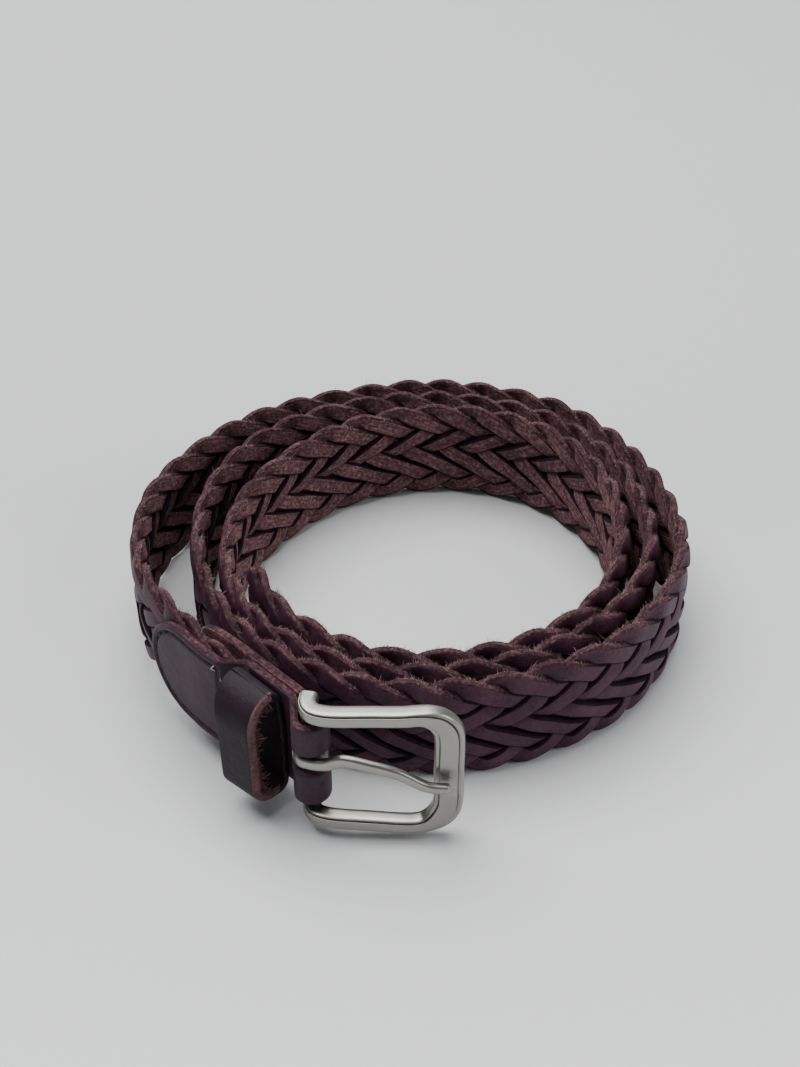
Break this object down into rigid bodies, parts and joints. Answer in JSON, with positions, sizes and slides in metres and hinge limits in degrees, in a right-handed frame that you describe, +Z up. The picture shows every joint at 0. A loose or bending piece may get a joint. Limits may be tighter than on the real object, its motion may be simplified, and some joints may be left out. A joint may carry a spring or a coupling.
{
  "type": "braided belt",
  "caption": "Braided leather belt, coiled in a loose spiral and standing on its edge, with a keeper and a satin metal prong buckle.",
  "frame": {"origin": "middle of the belt's footprint, on the surface that it stands on", "axes": "+Z up along the strap's width, -Y towards the buckle at the front, +X to the right of someone facing the buckle"},
  "size_m": [0.1304, 0.137, 0.0364],
  "materials": {
    "laces": "dyed split leather, grain side out",
    "tab_leather": "smooth dyed leather with cut edges",
    "satin_nickel": "satin"
  },
  "bodies": {
    "belt": {"braided_strap": "laces", "buckle_tab": "tab_leather", "keeper_loop": "tab_leather"},
    "buckle": {"buckle_frame": "satin_nickel"},
    "prong": {"buckle_prong": "satin_nickel"}
  },
  "joints": [
    {"name": "buckle_hinge", "type": "hinge", "parent": "belt", "child": "buckle", "pos_m": [-0.0207, -0.0611, 0.0191], "axis": [0, 0, 1], "range_deg": [-50, 10]},
    {"name": "prong_hinge", "type": "hinge", "parent": "buckle", "child": "prong", "pos_m": [-0.0207, -0.0611, 0.0191], "axis": [0, 0, 1], "range_deg": [-75, 0]}
  ]
}
